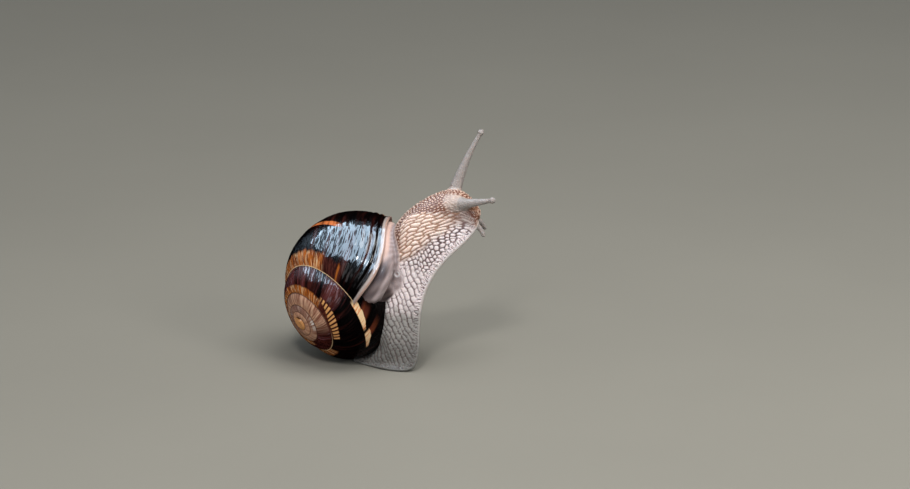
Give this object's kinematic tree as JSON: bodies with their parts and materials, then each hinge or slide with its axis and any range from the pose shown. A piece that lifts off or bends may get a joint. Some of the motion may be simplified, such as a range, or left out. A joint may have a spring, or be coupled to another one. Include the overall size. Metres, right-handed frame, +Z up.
{
  "type": "land snail model",
  "caption": "Life-size still model of a large dark-banded land snail rearing up, head raised and feelers out, resting on its foot and its globular shell.",
  "frame": {"origin": "on the floor, under the middle of the model's outer box", "axes": "+Z up, +X the way the snail faces, +Y its left side"},
  "size_m": [0.0642, 0.042, 0.0717],
  "materials": {
    "shell": "wet, glossy, near-black and dark red-brown whorls with orange-brown and cream spiral bands and fine growth lines",
    "skin": "moist skin in raised grey-cream and pinkish warts parted by dark grooves",
    "mantle": "smooth, moist, grey-pink mantle edge",
    "feeler": "smooth, moist, pale grey skin",
    "eye": "small glossy black bead"
  },
  "bodies": {
    "root": {"shell": "shell", "mantle_collar": "mantle", "tail": "skin", "foot": "skin", "neck": "skin", "head": "skin", "tentacle_upper_left": "feeler", "tentacle_upper_right": "feeler", "tentacle_lower_left": "feeler", "tentacle_lower_right": "feeler", "eye_left": "eye", "eye_right": "eye"}
  },
  "joints": []
}
